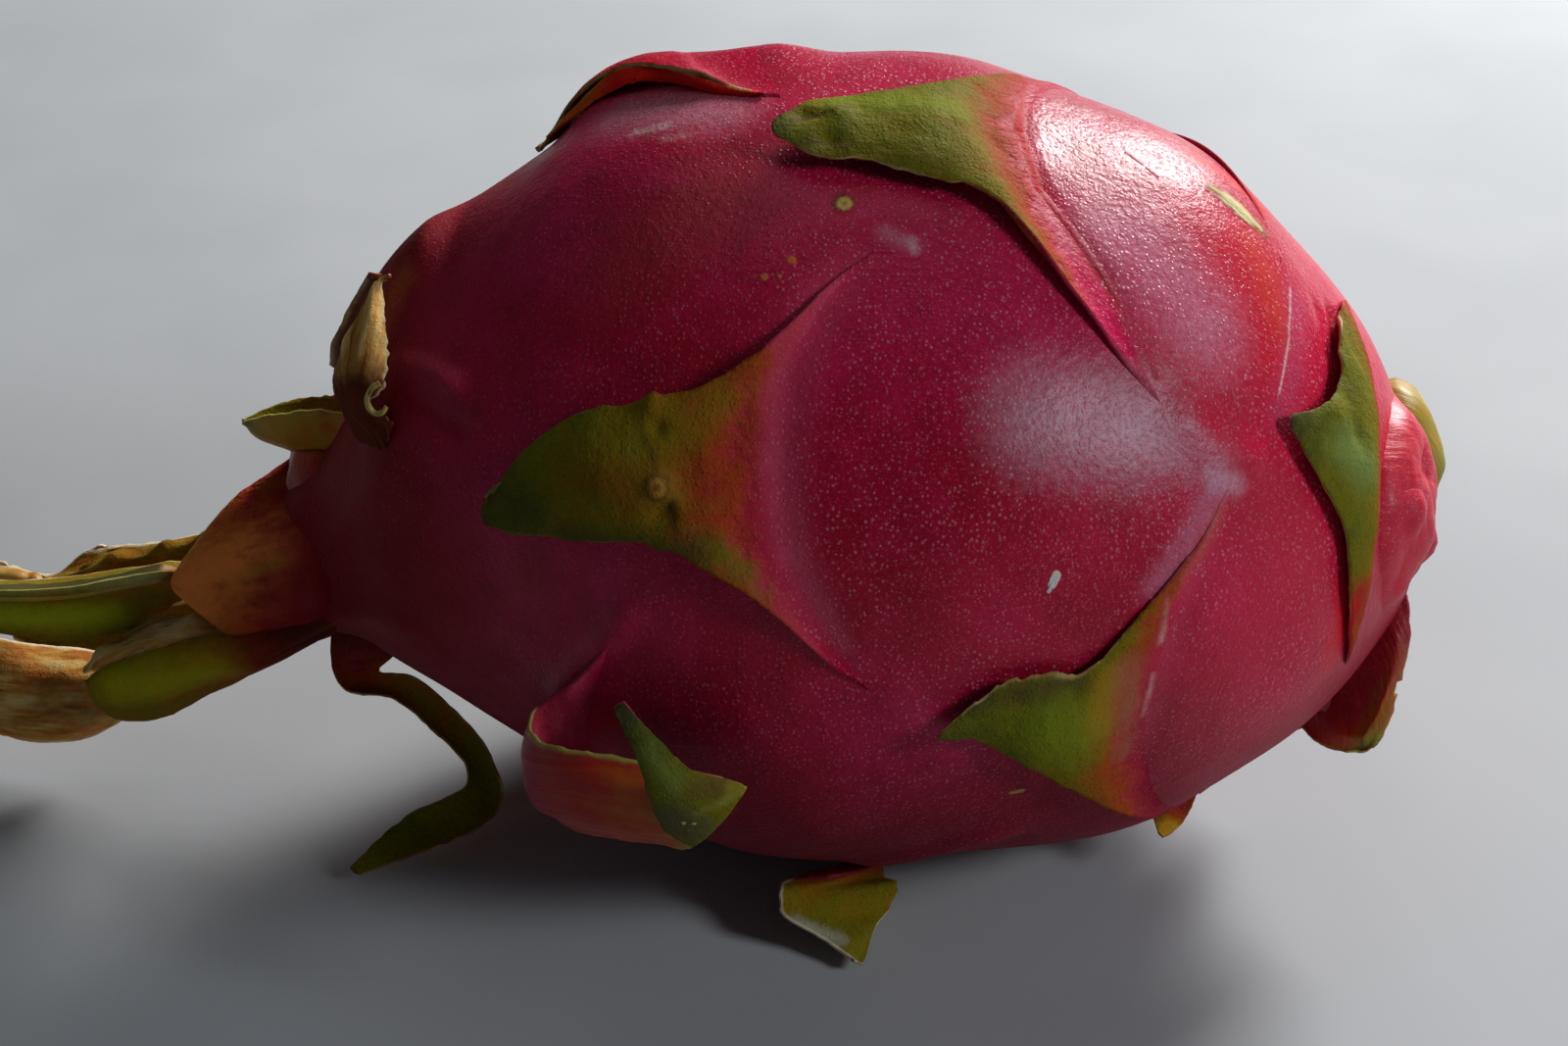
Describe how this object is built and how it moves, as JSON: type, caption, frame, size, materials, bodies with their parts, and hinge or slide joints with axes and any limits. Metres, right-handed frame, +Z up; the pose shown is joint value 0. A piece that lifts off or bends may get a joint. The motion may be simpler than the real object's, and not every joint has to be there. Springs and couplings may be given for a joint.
{
  "type": "dragon fruit",
  "caption": "Whole dragon fruit lying on its side, a magenta oval body with raised leafy scales tipped green and a crown of long bracts; display food or a soft prop",
  "frame": {"origin": "middle of the small flat spot on the belly that the fruit rests on, at the surface's height", "axes": "+X runs along the fruit from the crown of bracts to the stem end, +Z is up, -Y is the side with the large front scale"},
  "size_m": [0.1686, 0.0965, 0.0873],
  "materials": {
    "skin": "smooth waxy magenta skin with fine pale speckles, scales running to orange, olive and green at their tips",
    "green_tips": "matt, velvety olive green scale tips and bracts with darker points",
    "dry_edges": "dry, papery tan and brown margins, curled bract ends and stem scar"
  },
  "bodies": {
    "root": {"fruit": "skin"}
  },
  "joints": []
}
